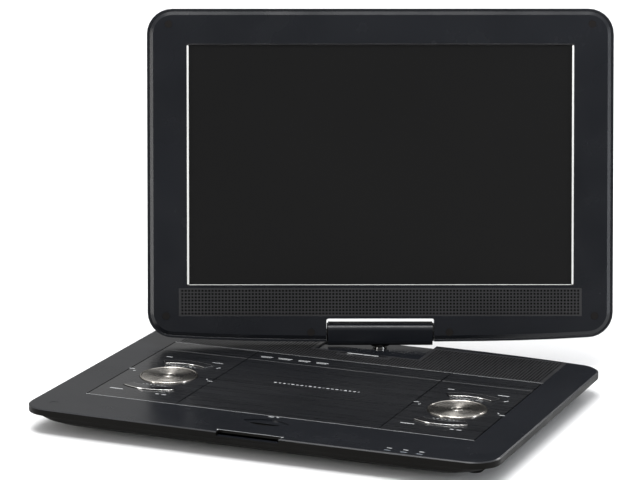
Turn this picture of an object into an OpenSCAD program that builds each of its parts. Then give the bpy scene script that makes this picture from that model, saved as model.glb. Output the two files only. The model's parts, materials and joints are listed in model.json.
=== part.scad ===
// Portable disc player: a flat base with a top-loading disc drive and a wide screen
// on a swivelling, tilting hinge. Millimetres, +Z up, +Y to the rear, origin on the
// ground under the middle of the base. The screen stands open and turned to one side.

/* [Base] */
// Width of the base
base_w = 402; // [390:1:430]
// Depth of the base, front edge to rear edge
base_d = 300.5; // [292:0.5:330]
// Height of the flat top above the ground
base_h = 22; // [21:0.5:26]
// Corner radius of base and screen, seen from above
corner_r = 22; // [14:1:30]
// How far the front edge falls back at its corners
front_bow = 1.5; // [0:0.5:4]
// How far the rear edge falls forward at its corners
rear_bow = 8; // [2:0.5:12]
// Height of the glossy rim band around the base
rim_h = 5.5; // [4.5:0.5:6.5]
// Width of the sloped edge of the top
edge_w = 1.4; // [1:0.1:4]
// Drop of that sloped edge
edge_drop = 0.7; // [0.4:0.1:2]
// Wall of the plastic shells
wall = 2; // [1.6:0.1:2.4]
// Height of the rubber feet under the flat bottom
foot_h = 2; // [1.5:0.5:3]

/* [Top panels] */
// Width of the disc door's opening
door_w = 176.6; // [170:0.2:180]
// Width of each control panel
panel_w = 79.7; // [76:0.1:84]
// Depth of the door and the control panels, front line to grille line
panel_d = 169.8; // [166:0.1:176]
// Distance from the rear edge of the base to the grille line
grille_d = 75.2; // [72:0.1:80]
// Distance of the shallow crease in front of the grille line
crease_d = 24.7; // [20:0.1:30]
// Gap around moving parts of the top
gap = 0.35; // [0.3:0.05:0.5]
// Gap at the sides of the disc door and of the control panels
side_gap = 1; // [0.5:0.1:1.2]

/* [Controls] */
// Radius of the round pads
pad_r = 24.3; // [20:0.1:26]
// Distance of each pad from the centre line
pad_x = 127.7; // [124:0.1:130]
// Distance of each pad behind the front line
pad_y = 72.7; // [66:0.1:80]
// How far pads and rocker keys stand above the top
key_rise = 0.9; // [0.4:0.1:1]
// Inner radius of the curved rocker keys
rocker_r0 = 35.5; // [33:0.1:36]
// Width of the curved rocker keys
rocker_w = 9.5; // [7:0.1:10]
// Half angle that each curved key covers
rocker_a = 31; // [20:1:34]
// Length of the open button
open_l = 26; // [18:1:32]

/* [Disc drive] */
// Diameter of the disc well
well_d = 124; // [122:0.5:128]
// Distance of the disc's centre behind the front line
disc_y0 = 80.8; // [78:0.1:84]
// Radius of the hub that centres the disc
hub_r = 7.4; // [7.3:0.05:7.5]
// Radius of the pickup's guide rods
rod_r = 1.5; // [1.2:0.1:2]
// Distance of each guide rod from the disc's centre line
rod_y = 19; // [18:0.5:21]
// Radius where the pickup starts, at the inner edge of the disc's track
track_r0 = 24; // [24:0.5:26]

/* [Hinge] */
// Distance of the swivel axis from the rear edge of the base
swivel_back = 14.9; // [13:0.1:18]
// Height of the tilt axis above the flat top
tilt_rise = 11.2; // [11.1:0.1:13]
// Width of the hinge barrel
barrel_w = 90.4; // [80:0.2:100]
// Height of the hinge barrel
barrel_h = 19; // [17:0.1:19.4]
// Depth of the hinge barrel, front to back
barrel_d = 17; // [15:0.1:18]
// How far the middle of the barrel lies below the tilt axis
barrel_drop = 1.1; // [0:0.1:1.2]
// Radius of the tilt shafts
tilt_r = 3; // [2.5:0.1:3.5]
// Radius of the swivel shaft
shaft_r = 5.2; // [4.5:0.1:6]
// Turn of the screen to one side
swivel_deg = 22.54; // [0:0.01:40]
// Lean of the screen behind upright
lean_deg = 11.06; // [0:0.01:30]

/* [Screen] */
// Width of the screen housing
lid_w = 402; // [390:1:430]
// From the tilt axis to the top edge of the housing
lid_up = 279.2; // [270:0.1:300]
// From the tilt axis down to the bottom edge of the housing
lid_down = 8; // [7:0.1:8.4]
// How far the bottom edge rises at its corners
lid_bow = 3.7; // [0:0.1:5]
// Front of the housing ahead of the tilt axis
lid_front = 8; // [7.5:0.1:8.4]
// Back of the housing behind the tilt axis
lid_back = 8.5; // [8:0.1:10]
// Width of the picture opening at the front face
view_w = 334; // [310:1:345]
// Height of the picture opening at the front face
view_h = 208.8; // [190:0.2:215]
// Height of the picture's centre above the tilt axis
view_up = 144.7; // [140:0.1:150]
// Width of the sloped trim around the picture
trim_w = 2; // [1.5:0.1:3]
// Width of the speaker grille
speaker_w = 348; // [320:1:356]
// Height of the speaker grille
speaker_h = 24.3; // [18:0.1:25]
// Height of the grille's lower edge above the tilt axis
speaker_up = 14.2; // [13.6:0.1:15]

/* [Hidden] */

$fn = 64;
eps = 0.01;
snug = 0.1;                       // gap between fixed pieces that sit in an opening
run = 0.05;                       // radial clearance of a turning shaft
front_y = -base_d / 2;
rear_y = base_d / 2;
rim_z = base_h - rim_h;           // seam between top case and bottom case
grille_y = rear_y - grille_d;     // line between the panels and the rear grille
line_y = grille_y - panel_d;      // front line of the panels
crease_y = grille_y - crease_d;
side_x = door_w / 2 + panel_w;    // outer edge of the control panels
top_t = wall;                     // thickness of the top skin
skin_z = base_h - top_t;
ledge_t = 1.2;                    // flange under the control panels
floor_z = foot_h + wall;          // inside of the flat bottom
pad_cy = line_y + pad_y;
disc_cy = line_y + disc_y0;
swivel_y = rear_y - swivel_back;
tilt_z = base_h + tilt_rise;
barrel_gap = 1.3;                 // between barrel ends and the screen's notch
notch_x = barrel_w / 2 + barrel_gap;
barrel_up = barrel_h / 2 - barrel_drop;
barrel_z0 = tilt_z - barrel_h / 2 - barrel_drop;
notch_up = barrel_up + 3.7;       // top of the notch above the tilt axis

/* Outline with rounded corners, whose front and rear edges bow in near the corners. */
function bow(x, reach, depth) = depth * pow(abs(x) / reach, 3);
function arc(cx, cy, r, a0, n = 7) =
    [for (i = [1:n - 1]) [cx + r * cos(a0 + 90 * i / n), cy + r * sin(a0 + 90 * i / n)]];
function outline(hw, y0, y1, r, bow0, bow1, n = 12) =
    let (xr = hw - r, ya = y0 + bow0 + r, yb = y1 - bow1 - r)
    concat(
        [for (i = [0:n]) let (x = xr * (2 * i / n - 1)) [x, y0 + bow(x, xr, bow0)]],
        arc(xr, ya, r, -90), [[hw, ya], [hw, yb]], arc(xr, yb, r, 0),
        [for (i = [0:n]) let (x = xr * (1 - 2 * i / n)) [x, y1 - bow(x, xr, bow1)]],
        arc(-xr, yb, r, 90), [[-hw, yb], [-hw, ya]], arc(-xr, ya, r, 180));

module block(x0, x1, y0, y1, z0, z1) {
    translate([x0, y0, z0]) cube([x1 - x0, y1 - y0, z1 - z0]);
}
module rod(r, z0, z1) {
    translate([0, 0, z0]) cylinder(r = r, h = z1 - z0);
}
module rod_x(r, x0, x1) {
    translate([x0, 0, 0]) rotate([0, 90, 0]) cylinder(r = r, h = x1 - x0);
}
module both_sides() {
    children();
    mirror([1, 0, 0]) children();
}
module pill(l, w, z0, z1) {
    block(-(l - w) / 2, (l - w) / 2, -w / 2, w / 2, z0, z1);
    for (s = [-1, 1]) translate([s * (l - w) / 2, 0, 0]) rod(w / 2, z0, z1);
}

/* ---------- base shells ---------- */
module base_slab(z0, z1, inset) {
    translate([0, 0, z0]) linear_extrude(z1 - z0)
        polygon(outline(base_w / 2 - inset, front_y + inset, rear_y - inset,
                        corner_r - inset, front_bow, rear_bow));
}

// Levels of the boat-shaped underside: height, inset at the sides, front and rear, radius.
levels = [
    [rim_z, 2, 2, 2, 22],
    [rim_z - 5.5, 12, 5.5, 3.5, 24],
    [rim_z - 8.5, 20, 10.7, 6, 25],
    [foot_h + 2.5, 31, 21.5, 13, 26],
    [foot_h, 41, 31.5, 22, 26]
];
module boat(t) {
    hull() {
        for (v = levels) {
            z = v[0] == rim_z ? rim_z : v[0] + t;
            translate([0, 0, z - eps]) linear_extrude(eps)
                polygon(outline(base_w / 2 - v[1] - t, front_y + v[2] + t,
                                rear_y - v[3] - t, v[4] - t, front_bow, rear_bow, 6));
        }
    }
}

// Bay with the sockets, cut into the right side under the rim.
bay_in = 23;
bay_x = base_w / 2 - bay_in;
bay_y0 = disc_cy - 66;
bay_y1 = disc_cy + 92;
bay_z0 = foot_h + 4;
port_z = rim_z - 5.5;
board_t = 1.6;                    // thickness of the circuit boards
board_z = floor_z + 1.6;
boss_r = 3.5;
screw_r = 1.4;
screw_spots = [
    [-140, front_y + 38], [-60, front_y + 38], [60, front_y + 38], [140, front_y + 38],
    [-140, rear_y - 40], [-70, rear_y - 40], [70, rear_y - 40], [140, rear_y - 40]
];
phones_y = disc_cy - 48;
av_y = disc_cy - 30;
usb_y = disc_cy - 6;
card_y = disc_cy + 26;
dc_y = disc_cy + 56;
switch_y = disc_cy + 78;
jack_r = 3.9;
usb_w = 14.5;
usb_h = 7.2;
card_w = 27;
card_h = 4.6;
switch_l = 7;
switch_t = 3;
switch_travel = 3;
// Underside of the sockets and of the board that carries them.
port_low = min(board_z + board_t, port_z - max(jack_r, usb_h / 2)) - snug;

// The space under the rim that the socket panel lines, with its walls or without them.
module bay(grow) {
    block(bay_x - grow, base_w, bay_y0 - grow, bay_y1 + grow, bay_z0, base_h);
}
module base_bottom_case() {
    head_r = boss_r - 0.6;
    color([0.03, 0.03, 0.03])
    difference() {
        union() {
            difference() {
                boat(0);
                boat(wall);
            }
            for (p = screw_spots) translate([p[0], p[1], 0])
                rod(boss_r, foot_h + 0.5, rim_z);
        }
        bay(wall);
        block(bay_x - 20, bay_x - wall, bay_y0, bay_y1, port_low, base_h);
        for (p = screw_spots) translate([p[0], p[1], 0]) {
            rod(screw_r + 0.2, 0, base_h);
            rod(head_r, 0, floor_z + 0.8);
        }
    }
}
module port_hole(y, w, h) {
    block(bay_x - wall - eps, bay_x + eps, y - w / 2 - snug, y + w / 2 + snug,
          port_z - h / 2 - snug, port_z + h / 2 + snug);
}
module socket_panel() {
    color([0.03, 0.03, 0.03])
    difference() {
        intersection() {
            boat(0);
            bay(wall);
        }
        bay(0);
        for (y = [phones_y, av_y, dc_y]) translate([0, y, port_z])
            rod_x(jack_r + snug, bay_x - wall - eps, bay_x + eps);
        port_hole(usb_y, usb_w, usb_h);
        port_hole(card_y, card_w, card_h);
        port_hole(switch_y + switch_travel / 2, switch_l + switch_travel + 2 * gap,
                  switch_t + 2 * gap);
    }
}

// Recess behind the badge that lets the hinge turn, open to the rear.
recess_x = 47.5;
recess_y = swivel_y - 14;
recess_z = base_h - 3;
recess_t = 2;
grille_t = 1.4;
grille_y1 = rear_y - rear_bow - 1;
grille_floor = 1.6;
thumb_x = 26.6;
thumb_d = 6;
thumb_z = base_h - 3.4;
button_y = line_y - 21.5;
dish_y = line_y - 17.7;
dish_w = 40;
dish_h = 16;
dish_depth = 0.9;
button_w = 4.2;
button_sunk = 0.7;                // top of the open button below the dish's floor
light_x = [114, 127.5, 140.5];
light_y = front_y + 7.5;
plug_x = 180;
plug_y = front_y + 22;
plug_r = 3.4;
plug_depth = 1;
collar_r = 8;
collar_t = 1;

module dish(z0, z1) {
    lens_r = (pow(dish_w / 2, 2) + pow(dish_h / 2, 2)) / dish_h;
    translate([0, dish_y, 0]) intersection() {
        translate([0, lens_r - dish_h / 2, 0]) rod(lens_r, z0, z1);
        translate([0, dish_h / 2 - lens_r, 0]) rod(lens_r, z0, z1);
    }
}
module grille_area(inset, z0, z1) {
    difference() {
        block(-side_x + inset, side_x - inset, grille_y + inset, grille_y1 - inset, z0, z1);
        block(-recess_x - inset, recess_x + inset, recess_y - inset, base_d, z0 - 1, z1 + 1);
    }
}
// A notch in the front edge with a sloped back, for the thumb that lifts the screen.
module thumb_notch() {
    slope = 1;
    translate([-thumb_x, front_y, 0]) rotate([90, 0, 90]) linear_extrude(2 * thumb_x)
        polygon([[thumb_d, base_h + 1], [thumb_d, base_h], [thumb_d - slope, thumb_z],
                 [-1, thumb_z], [-1, base_h + 1]]);
}
module base_top_case() {
    bevel_z = base_h - edge_drop;
    color([0.06, 0.06, 0.065])
    difference() {
        union() {
            difference() {
                hull() {
                    base_slab(rim_z, bevel_z, 0);
                    base_slab(base_h - eps, base_h, edge_w);
                }
                base_slab(rim_z - 1, skin_z, 2 * wall + 0.4);
            }
            block(-side_x, side_x, grille_y, grille_y1 + 1,
                  base_h - grille_t - grille_floor, base_h - grille_t);
            block(-recess_x - wall, recess_x + wall, recess_y - wall, rear_y - 2,
                  recess_z - recess_t, base_h - 0.5);
            for (p = screw_spots) translate([p[0], p[1], 0]) rod(boss_r, rim_z, skin_z);
        }
        block(-side_x, side_x, line_y, grille_y, rim_z - 1, base_h + 1);
        grille_area(0, base_h - grille_t, base_h + 1);
        block(-recess_x, recess_x, recess_y, base_d, recess_z, base_h + 1);
        translate([0, swivel_y, 0]) rod(shaft_r + 0.8, 0, base_h);
        thumb_notch();
        for (p = screw_spots) translate([p[0], p[1], 0]) rod(screw_r, 0, skin_z - 0.6);
        dish(base_h - dish_depth, base_h + 1);
        translate([0, button_y, 0]) pill(open_l + 2 * gap, button_w + 2 * gap, 0, base_h);
        for (x = light_x) translate([x, light_y, 0]) pill(6, 2, skin_z - 1, base_h + 1);
        both_sides() translate([plug_x, plug_y, 0]) rod(plug_r, base_h - plug_depth, base_h + 1);
    }
}

module rubber_feet() {
    foot_w = 12;
    foot_l = 40;
    foot_x = base_w / 2 - 24 - foot_w / 2;
    foot_y = base_d / 2 - 42.5 - foot_l / 2;
    color([0.02, 0.02, 0.02])
    difference() {
        for (x = [-foot_x, foot_x], y = [-foot_y, foot_y]) translate([x, y, 0])
            rotate([0, 0, 90]) pill(foot_l, foot_w, 0, rim_z - 7);
        boat(0);
    }
}

module case_screws() {
    color([0.5, 0.5, 0.5])
    for (p = screw_spots) translate([p[0], p[1], 0]) {
        difference() {
            rod(boss_r - 0.8, floor_z - 0.8, floor_z + 0.8);
            for (a = [0, 90]) rotate([0, 0, a])
                block(-1.6, 1.6, -0.3, 0.3, floor_z - 1, floor_z - 0.1);
        }
        rod(screw_r - run, floor_z + 0.8, skin_z - 1);
    }
}

module screw_plugs() {
    color([0.05, 0.05, 0.055])
    both_sides() translate([plug_x, plug_y, 0])
        rod(plug_r - snug, base_h - plug_depth, base_h - 0.15);
}

module indicator_lights() {
    color([0.75, 0.77, 0.8])
    for (x = light_x) translate([x, light_y, 0])
        pill(6 - 2 * snug, 2 - 2 * snug, skin_z - 0.6, base_h - edge_drop / 3);
}

/* ---------- control panels ---------- */
rocker_axis_z = base_h - 1.8;     // each curved key tips about two small pins
rocker_pin_r = 0.45;
rocker_pin_l = 1.5;               // how far a pin reaches into its key
module rocker_ring(r0, r1, half_a, z0, z1) {
    reach = 2 * r1;
    difference() {
        intersection() {
            rod(r1, z0, z1);
            translate([0, 0, z0]) linear_extrude(z1 - z0)
                polygon([[0, 0], [reach * sin(half_a), reach * cos(half_a)],
                         [-reach * sin(half_a), reach * cos(half_a)]]);
        }
        rod(r0, z0 - 1, z1 + 1);
    }
}
module rocker_pins() {
    r1 = rocker_r0 + rocker_w;
    for (y = [rocker_r0 - gap - 1, r1 - rocker_pin_l]) translate([0, y, rocker_axis_z])
        rotate([-90, 0, 0]) cylinder(r = rocker_pin_r, h = rocker_pin_l + gap + 1);
}
module crease(z) {
    half = 0.35;
    crease_h = 0.15;
    translate([-base_w / 2, crease_y, z]) rotate([90, 0, 90])
        linear_extrude(base_w) polygon([[-half, 0.1], [half, 0.1], [0, -crease_h]]);
}
module right_panel_plate() {
    r0 = rocker_r0 - gap;
    r1 = rocker_r0 + rocker_w + gap;
    difference() {
        union() {
            block(door_w / 2, side_x - side_gap, line_y + snug, grille_y - snug, skin_z, base_h);
            block(side_x - 8, side_x + 1.5, line_y - 1.5, grille_y - 3,
                  skin_z - ledge_t, skin_z);
            block(door_w / 2 + 6, side_x, line_y - 1.5, line_y + 6, skin_z - ledge_t, skin_z);
        }
        translate([pad_x, pad_cy, 0]) {
            rod(pad_r + gap, 0, base_h + 1);
            rocker_ring(r0, r1, rocker_a + 0.6, skin_z - 4, base_h + 1);
            rotate([0, 0, 180])
                rocker_ring(r0, r1, rocker_a + 0.6, skin_z - 4, base_h + 1);
        }
        crease(base_h);
    }
    translate([pad_x, pad_cy, 0]) {
        rocker_pins();
        rotate([0, 0, 180]) rocker_pins();
    }
}
module right_control_panel() {
    color([0.08, 0.085, 0.09]) right_panel_plate();
}
module left_control_panel() {
    color([0.08, 0.085, 0.09]) mirror([1, 0, 0]) right_panel_plate();
}

key_board_z = skin_z - 4.6;
dome_h = 0.2;
plunger_gap = 1;                  // free height over each switch dome
module right_keys_board() {
    difference() {
        union() {
            block(pad_x - 34, pad_x + 34, pad_cy - 52, pad_cy + 52,
                  key_board_z, key_board_z + board_t);
            translate([pad_x, pad_cy, key_board_z + board_t]) {
                for (a = [0:90:270]) rotate([0, 0, a]) translate([16, 0, 0]) rod(3, 0, dome_h);
                for (s = [-1, 1], e = [-1, 1])
                    rotate([0, 0, e * (rocker_a - 6)])
                        translate([0, s * (rocker_r0 + rocker_w / 2), 0]) rod(2.5, 0, dome_h);
            }
        }
        for (x = [-30, 30], y = [-48, 48]) translate([pad_x + x, pad_cy + y, 0])
            rod(1.6, 0, base_h);
    }
}
module right_key_board() {
    color([0.05, 0.25, 0.12]) right_keys_board();
}
module left_key_board() {
    color([0.05, 0.25, 0.12]) mirror([1, 0, 0]) right_keys_board();
}

module pad_shape() {
    bottom = key_board_z + board_t + dome_h + plunger_gap;
    rod(pad_r, skin_z - 0.4, base_h + key_rise);
    for (a = [0:90:270]) rotate([0, 0, a]) translate([16, 0, 0])
        rod(1.5, bottom, skin_z);
}
module right_pad() {
    color([0.75, 0.74, 0.72]) translate([pad_x, pad_cy, 0]) pad_shape();
}
module left_pad() {
    color([0.75, 0.74, 0.72]) translate([-pad_x, pad_cy, 0]) pad_shape();
}
module rocker_shape() {
    bottom = key_board_z + board_t + dome_h + plunger_gap;
    difference() {
        rocker_ring(rocker_r0, rocker_r0 + rocker_w, rocker_a, skin_z - 1, base_h + key_rise);
        translate([0, 0, rocker_axis_z]) rotate([-90, 0, 0])
            cylinder(r = rocker_pin_r + snug, h = 2 * rocker_r0);
    }
    for (e = [-1, 1]) rotate([0, 0, e * (rocker_a - 6)])
        translate([0, rocker_r0 + rocker_w / 2, 0]) rod(1.2, bottom, skin_z - 0.5);
}
module rocker(side, turn) {
    color([0.8, 0.8, 0.8])
        translate([side * pad_x, pad_cy, 0]) rotate([0, 0, turn]) rocker_shape();
}
module left_rear_rocker() { rocker(-1, 0); }
module left_front_rocker() { rocker(-1, 180); }
module right_rear_rocker() { rocker(1, 0); }
module right_front_rocker() { rocker(1, 180); }

module open_button() {
    color([0.04, 0.04, 0.045]) translate([0, button_y, 0]) {
        pill(open_l, button_w, skin_z - 1.5, base_h - dish_depth - button_sunk);
        block(-3, 3, -1.2, 1.2, skin_z - 3.4, skin_z - 1);
    }
}

/* ---------- rear deck ---------- */
badge_l = 45;
badge_w = 9;
badge_y = grille_y + 23.4;
badge_t = 0.8;
module rear_grille_panel() {
    color([0.1, 0.1, 0.105])
    difference() {
        grille_area(snug, base_h - grille_t, base_h);
        translate([0, badge_y, 0])
            pill(badge_l + 2 * snug, badge_w + 2 * snug, base_h - badge_t, base_h + 1);
    }
}
module badge_plaque() {
    color([0.05, 0.05, 0.055]) translate([0, badge_y, 0]) {
        pill(badge_l, badge_w, base_h - badge_t, base_h + 0.15);
        translate([0, 0.4, 0]) pill(badge_l * 0.7, 1.4, base_h, base_h + 0.4);
    }
}

/* ---------- disc door and loader ---------- */
door_x = door_w / 2 - side_gap;
door_axis_y = grille_y - 2.4;
door_axis_z = base_h - 1.9;
door_pin_r = 0.9;
knuckle_r = 1.8;
knuckle_x = [64, 76];
ear_t = 3.4;
ear_relief = 0.4;                 // rear of each ear is set in, so that the open door clears it
module disc_door() {
    rib_h = 1;
    rib_in = 4;
    edge = 0.6;
    rear = grille_y - 0.7;
    front = line_y + gap;
    color([0.08, 0.085, 0.09])
    difference() {
        union() {
            translate([-door_x, 0, 0]) rotate([90, 0, 90]) linear_extrude(2 * door_x)
                polygon([[front, skin_z], [rear, skin_z], [rear, base_h - edge],
                         [rear - edge, base_h], [front, base_h]]);
            difference() {
                block(-door_x + rib_in, door_x - rib_in, front + rib_in, rear - 12,
                      skin_z - rib_h, skin_z + eps);
                block(-door_x + rib_in + 1.5, door_x - rib_in - 1.5, front + rib_in + 1.5,
                      rear - 13.5, skin_z - rib_h - 1, skin_z);
            }
            both_sides() translate([0, door_axis_y, door_axis_z])
                rod_x(knuckle_r, knuckle_x[0], knuckle_x[1]);
            block(-5, 5, front + 1, front + rib_in + 1, skin_z - 1.6, skin_z + eps);
        }
        both_sides() translate([0, door_axis_y, door_axis_z]) {
            rod_x(door_pin_r + run, knuckle_x[0] - 1, knuckle_x[1] + 1);
            for (x = [knuckle_x[0] - ear_t - gap, knuckle_x[1]])
                rod_x_gap(x);
        }
        crease(base_h);
    }
}
// Room in the door for one hinge ear.
module rod_x_gap(x) {
    rod_x(knuckle_r + gap - 0.1, x, x + ear_t + gap);
    block(x, x + ear_t + gap, -knuckle_r - gap, 6, -4, 0);
}
module door_hinge_pins() {
    color([0.6, 0.6, 0.6])
    both_sides() translate([0, door_axis_y, door_axis_z])
        rod_x(door_pin_r, knuckle_x[0] - ear_t, knuckle_x[1] + ear_t);
}

deck_z = base_h - 3.6;
well_z = base_h - 7.4;
deck_t = 1.4;
deck_x = door_w / 2 - 2.8;
slot_w = 20;
slot_x1 = well_d / 2;
module loader_deck() {
    y0 = line_y + 2.75;
    y1 = grille_y - 0.6;
    color([0.05, 0.05, 0.05])
    difference() {
        union() {
            difference() {
                block(-deck_x, deck_x, y0, y1, well_z - deck_t, deck_z);
                difference() {
                    block(-deck_x + deck_t, deck_x - deck_t, y0 + deck_t, y1 - deck_t,
                          0, deck_z - deck_t);
                    translate([0, disc_cy, 0]) rod(well_d / 2 + deck_t, 0, base_h);
                }
            }
            both_sides() translate([0, door_axis_y, door_axis_z])
                for (x = [knuckle_x[0] - ear_t, knuckle_x[1] + gap]) {
                    rod_x(knuckle_r, x, x + ear_t - gap);
                    block(x, x + ear_t - gap, -knuckle_r, knuckle_r - ear_relief,
                          deck_z - door_axis_z, 0);
                }
        }
        translate([0, disc_cy, 0]) {
            rod(well_d / 2, well_z, base_h + 1);
            rod(15, 0, base_h);
            block(0, slot_x1, -slot_w / 2, slot_w / 2, 0, base_h);
        }
        both_sides() translate([0, door_axis_y, door_axis_z]) {
            rod_x(door_pin_r, knuckle_x[0] - ear_t - 1, knuckle_x[1] + ear_t + 1);
            rod_x(knuckle_r + gap + 0.1, knuckle_x[0] - gap, knuckle_x[1] + gap);
        }
        block(-5.5, 5.5, y0 - 1, y0 + 4, deck_z - 2.4, base_h);
    }
}

// The catch slides back as the open button goes down.
catch_y = line_y - 2.4;
module door_catch() {
    z1 = skin_z - 1.9;
    color([0.85, 0.85, 0.82])
    difference() {
        block(-4, 4, button_y + 2.4, catch_y + 1.6, z1 - 2.2, z1);
        translate([0, button_y, 0]) block(-5, 5, -3, 2.6, 0, z1 - 1);
    }
}

chassis_z = floor_z + 1.2;
chassis_t = 1;
// Guide rods and lead screw lie midway between the chassis and the deck above it.
room_z0 = chassis_z + chassis_t;
room_z1 = well_z - deck_t;
axis_z = (room_z0 + room_z1) / 2;
lug_clear = 0.2;                  // above and below the pickup's sliding lugs
rod_x0 = -22;
rod_x1 = 80;
screw_y = -rod_y - 8;
pickup_hx = 10.4;
motor_r = 11.5;
lug_w = rod_r + 3.8;              // half width of a lug
module loader_chassis() {
    color([0.6, 0.62, 0.64]) translate([0, disc_cy, 0])
    difference() {
        union() {
            difference() {
                block(rod_x0 - 8, rod_x1 + 4, screw_y - 8, rod_y + 9,
                      chassis_z, chassis_z + chassis_t);
                block(motor_r + 1.6, rod_x1 - 8, -rod_y + 4, rod_y - 4, 0, base_h);
            }
            for (x = [rod_x0, rod_x1 - 4], y = [-rod_y, rod_y])
                block(x, x + 4, y - 3, y + 3, chassis_z, axis_z + 2.6);
            block(rod_x1 - 7, rod_x1 - 4.5, screw_y - 3, screw_y + 3, chassis_z, axis_z + 2);
        }
        for (y = [-rod_y, rod_y]) translate([0, y, axis_z])
            rod_x(rod_r, rod_x0 - 1, rod_x1 + 1);
        translate([0, screw_y, axis_z]) rod_x(0.9 + run, rod_x1 - 8, rod_x1);
    }
}
module loader_dampers() {
    color([0.08, 0.08, 0.08])
    for (x = [rod_x0 - 4, rod_x1], y = [screw_y - 4, rod_y + 5])
        translate([x, disc_cy + y, 0]) difference() {
            rod(3.5, floor_z, chassis_z);
            rod(1.5, 0, base_h);
        }
}
module pickup_guide_rods() {
    color([0.8, 0.8, 0.82])
    for (y = [-rod_y, rod_y]) translate([0, disc_cy + y, axis_z]) rod_x(rod_r, rod_x0, rod_x1);
}
spindle_top = well_z - 1.8;
module spindle_motor() {
    color([0.55, 0.56, 0.58]) translate([0, disc_cy, 0])
    difference() {
        rod(motor_r, chassis_z + chassis_t, spindle_top);
        rod(1.5 + run, chassis_z + 2, base_h);
    }
}
module turntable() {
    plate_z = well_z + 0.4;
    color([0.12, 0.12, 0.12]) translate([0, disc_cy, 0]) {
        rod(1.5, chassis_z + 2.4, plate_z);
        rod(13, spindle_top + 0.4, plate_z + 1);
        rod(hub_r, plate_z + 1, plate_z + 3.2);
        translate([0, 0, plate_z + 3.2]) cylinder(r1 = hub_r, r2 = hub_r - 1.2, h = 0.8);
        for (a = [0:120:240]) rotate([0, 0, a]) translate([hub_r - 0.9, 0, plate_z + 2.6])
            sphere(r = 1.1);
    }
}
module optical_pickup() {
    z0 = chassis_z + 1.6;
    color([0.2, 0.2, 0.22]) translate([track_r0, disc_cy, 0])
    difference() {
        union() {
            block(-pickup_hx, pickup_hx, -rod_y + 4.5, rod_y - 4.5, z0 - 2, well_z - 2);
            for (y = [-rod_y, rod_y])
                block(-6, 6, y - lug_w, y + lug_w, room_z0 + lug_clear, room_z1 - lug_clear);
            block(-3, 3, screw_y - 3, -rod_y, axis_z - 2.4, axis_z + 2.4);
        }
        for (y = [-rod_y, rod_y]) translate([0, y, axis_z]) rod_x(rod_r + run, -20, 20);
        translate([0, screw_y, axis_z]) rod_x(1.6, -20, 20);
        rod(3.2, well_z - 3.2, base_h);
    }
}
module pickup_lens() {
    color([0.4, 0.5, 0.6]) translate([track_r0, disc_cy, 0]) {
        rod(3.2, well_z - 3.2, well_z - 2);
        rod(2.4, well_z - 2, well_z - 1.2);
    }
}
module sled_motor() {
    color([0.65, 0.65, 0.66]) translate([0, disc_cy + screw_y, axis_z])
    difference() {
        intersection() {
            rod_x(5, rod_x0 - 2, -6);
            block(rod_x0 - 3, 0, -6, 6, room_z0 - axis_z, room_z1 - axis_z - lug_clear);
        }
        rod_x(0.9 + run, -12, 0);
    }
}
module lead_screw() {
    pitch = 3;
    color([0.75, 0.7, 0.5]) translate([0, disc_cy + screw_y, axis_z]) {
        rod_x(0.9, -11, rod_x1 - 4.6);
        difference() {
            rod_x(1.4, -5, rod_x1 - 8);
            for (x = [-4:pitch / 2:rod_x1 - 10]) translate([x, 0, 0]) difference() {
                rod_x(2, 0, 0.6);
                rod_x(1.15, -1, 2);
            }
        }
    }
}

/* ---------- boards, battery, sockets ---------- */
module main_board() {
    x0 = 93;
    x1 = bay_x - 17;
    color([0.05, 0.25, 0.12])
    difference() {
        union() {
            block(x0, x1, bay_y0 + 2, bay_y1 - 2, board_z, board_z + board_t);
            block(x0 + 12, x0 + 34, disc_cy - 2, disc_cy + 20, board_z + board_t,
                  board_z + board_t + 1.2);
            block(x0 + 8, x0 + 20, disc_cy + 36, disc_cy + 48, board_z + board_t,
                  board_z + board_t + 1);
            for (y = [-40, -28, 62]) translate([x0 + 24, disc_cy + y, board_z])
                rod(4, 0, board_t + 3.6);
        }
        for (x = [x0 + 4, x1 - 4], y = [bay_y0 + 6, bay_y1 - 6]) translate([x, y, 0])
            rod(1.6, 0, base_h);
    }
}
module battery_pack() {
    color([0.15, 0.2, 0.35])
    for (i = [0:2]) translate([-152, disc_cy - 62 + i * 44, floor_z + 0.3])
        block(0, 58, 0, 43.6, 0, 8);
}
module round_jack(y, bore_r, depth) {
    translate([0, y, port_z]) difference() {
        union() {
            block(bay_x - wall - 14, bay_x - wall - snug, -5, 5, board_z + board_t - port_z, 4);
            rod_x(jack_r, bay_x - wall - 2, bay_x);
        }
        rod_x(bore_r, bay_x - depth, bay_x + 1);
    }
}
jack_bore = 1.8;
jack_depth = 14;
module headphone_jack() { color([0.08, 0.08, 0.08]) round_jack(phones_y, jack_bore, jack_depth); }
module av_jack() { color([0.6, 0.5, 0.1]) round_jack(av_y, jack_bore, jack_depth); }
module dc_jack() {
    color([0.08, 0.08, 0.08]) {
        round_jack(dc_y, 2.85, 10);
        translate([0, dc_y, port_z]) rod_x(0.8, bay_x - 10.5, bay_x - 1);
    }
}
module slot_box(y, w, h, depth, rim) {
    difference() {
        block(bay_x - depth - 1, bay_x, y - w / 2, y + w / 2, port_z - h / 2, port_z + h / 2);
        block(bay_x - depth, bay_x + 1, y - w / 2 + rim, y + w / 2 - rim,
              port_z - h / 2 + rim, port_z + h / 2 - rim);
    }
}
module usb_port() {
    color([0.75, 0.75, 0.76]) {
        slot_box(usb_y, usb_w, usb_h, 14, 0.6);
        block(bay_x - 14.5, bay_x - 2, usb_y - 5.5, usb_y + 5.5, port_z + 0.4, port_z + 2.2);
    }
}
module card_slot() {
    color([0.7, 0.7, 0.72]) slot_box(card_y, card_w, card_h, 16, 0.6);
}
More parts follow.
